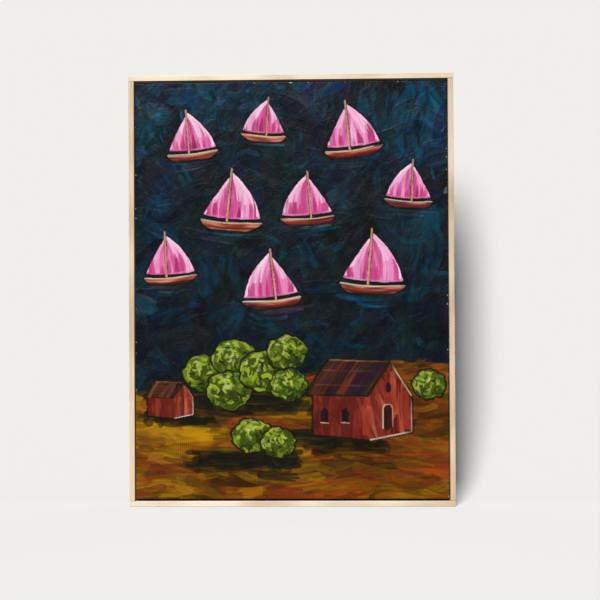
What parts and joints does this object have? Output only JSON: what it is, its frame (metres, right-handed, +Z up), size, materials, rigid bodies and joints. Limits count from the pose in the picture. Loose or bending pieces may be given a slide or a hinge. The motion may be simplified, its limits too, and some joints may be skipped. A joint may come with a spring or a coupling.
{
  "type": "framed canvas painting",
  "caption": "Upright stretched canvas with a naive coastal picture in raised paint, in a thin pale strip-wood floating frame with a sawtooth hanger on its back.",
  "frame": {"origin": "where the hanging nail bears: the middle of the hanger's notch row, on the plane of the wall", "axes": "+Z up the picture, +X to the viewer's right, +Y into the wall, so the picture looks along -Y"},
  "size_m": [0.4764, 0.0445, 0.6324],
  "materials": {
    "rail": "bare sanded pale softwood with fine straight grain",
    "spacer": "stained black, matt",
    "stretcher": "planed pine",
    "key": "sawn beech",
    "canvas": "plain-weave cotton, primed on the front and raw behind",
    "hanger": "brass-plated pressed steel",
    "nail": "bright steel",
    "bumper": "matt",
    "paint_dark_teal": "brushed acrylic paint, satin",
    "paint_ochre": "brushed acrylic paint, satin",
    "paint_pink": "thick brushed acrylic paint, satin",
    "paint_salmon": "thick brushed acrylic paint, satin",
    "paint_green": "thick brushed acrylic paint, satin",
    "paint_terracotta": "thick brushed acrylic paint, satin",
    "paint_umber": "thick brushed acrylic paint, satin"
  },
  "bodies": {
    "root": {"frame_rail_top": "rail", "frame_rail_bottom": "rail", "frame_rail_left": "rail", "frame_rail_right": "rail", "spacer_top": "spacer", "spacer_bottom": "spacer", "spacer_left": "spacer", "spacer_right": "spacer", "stretcher_bar_top": "stretcher", "stretcher_bar_bottom": "stretcher", "stretcher_bar_left": "stretcher", "stretcher_bar_right": "stretcher", "key_top_left_along": "key", "key_top_left_up": "key", "key_top_right_along": "key", "key_top_right_up": "key", "key_bottom_left_along": "key", "key_bottom_left_up": "key", "key_bottom_right_along": "key", "key_bottom_right_up": "key", "canvas": "canvas", "hanger": "hanger", "hanger_nail_left": "nail", "hanger_nail_right": "nail", "bumper_left": "bumper", "bumper_right": "bumper", "paint_sea": "paint_dark_teal", "paint_shore": "paint_ochre", "paint_boat_1_sails": "paint_pink", "paint_boat_1_hull": "paint_salmon", "paint_boat_2_sails": "paint_pink", "paint_boat_2_hull": "paint_salmon", "paint_boat_3_sails": "paint_pink", "paint_boat_3_hull": "paint_salmon", "paint_boat_4_sails": "paint_pink", "paint_boat_4_hull": "paint_salmon", "paint_boat_5_sails": "paint_pink", "paint_boat_5_hull": "paint_salmon", "paint_boat_6_sails": "paint_pink", "paint_boat_6_hull": "paint_salmon", "paint_boat_7_sails": "paint_pink", "paint_boat_7_hull": "paint_salmon", "paint_boat_8_sails": "paint_pink", "paint_boat_8_hull": "paint_salmon", "paint_boat_9_sails": "paint_pink", "paint_boat_9_hull": "paint_salmon", "paint_bushes_middle": "paint_green", "paint_bushes_front": "paint_green", "paint_bushes_right": "paint_green", "paint_cottage_near_walls": "paint_terracotta", "paint_cottage_near_roof": "paint_umber", "paint_cottage_far_walls": "paint_terracotta", "paint_cottage_far_roof": "paint_umber"}
  },
  "joints": []
}
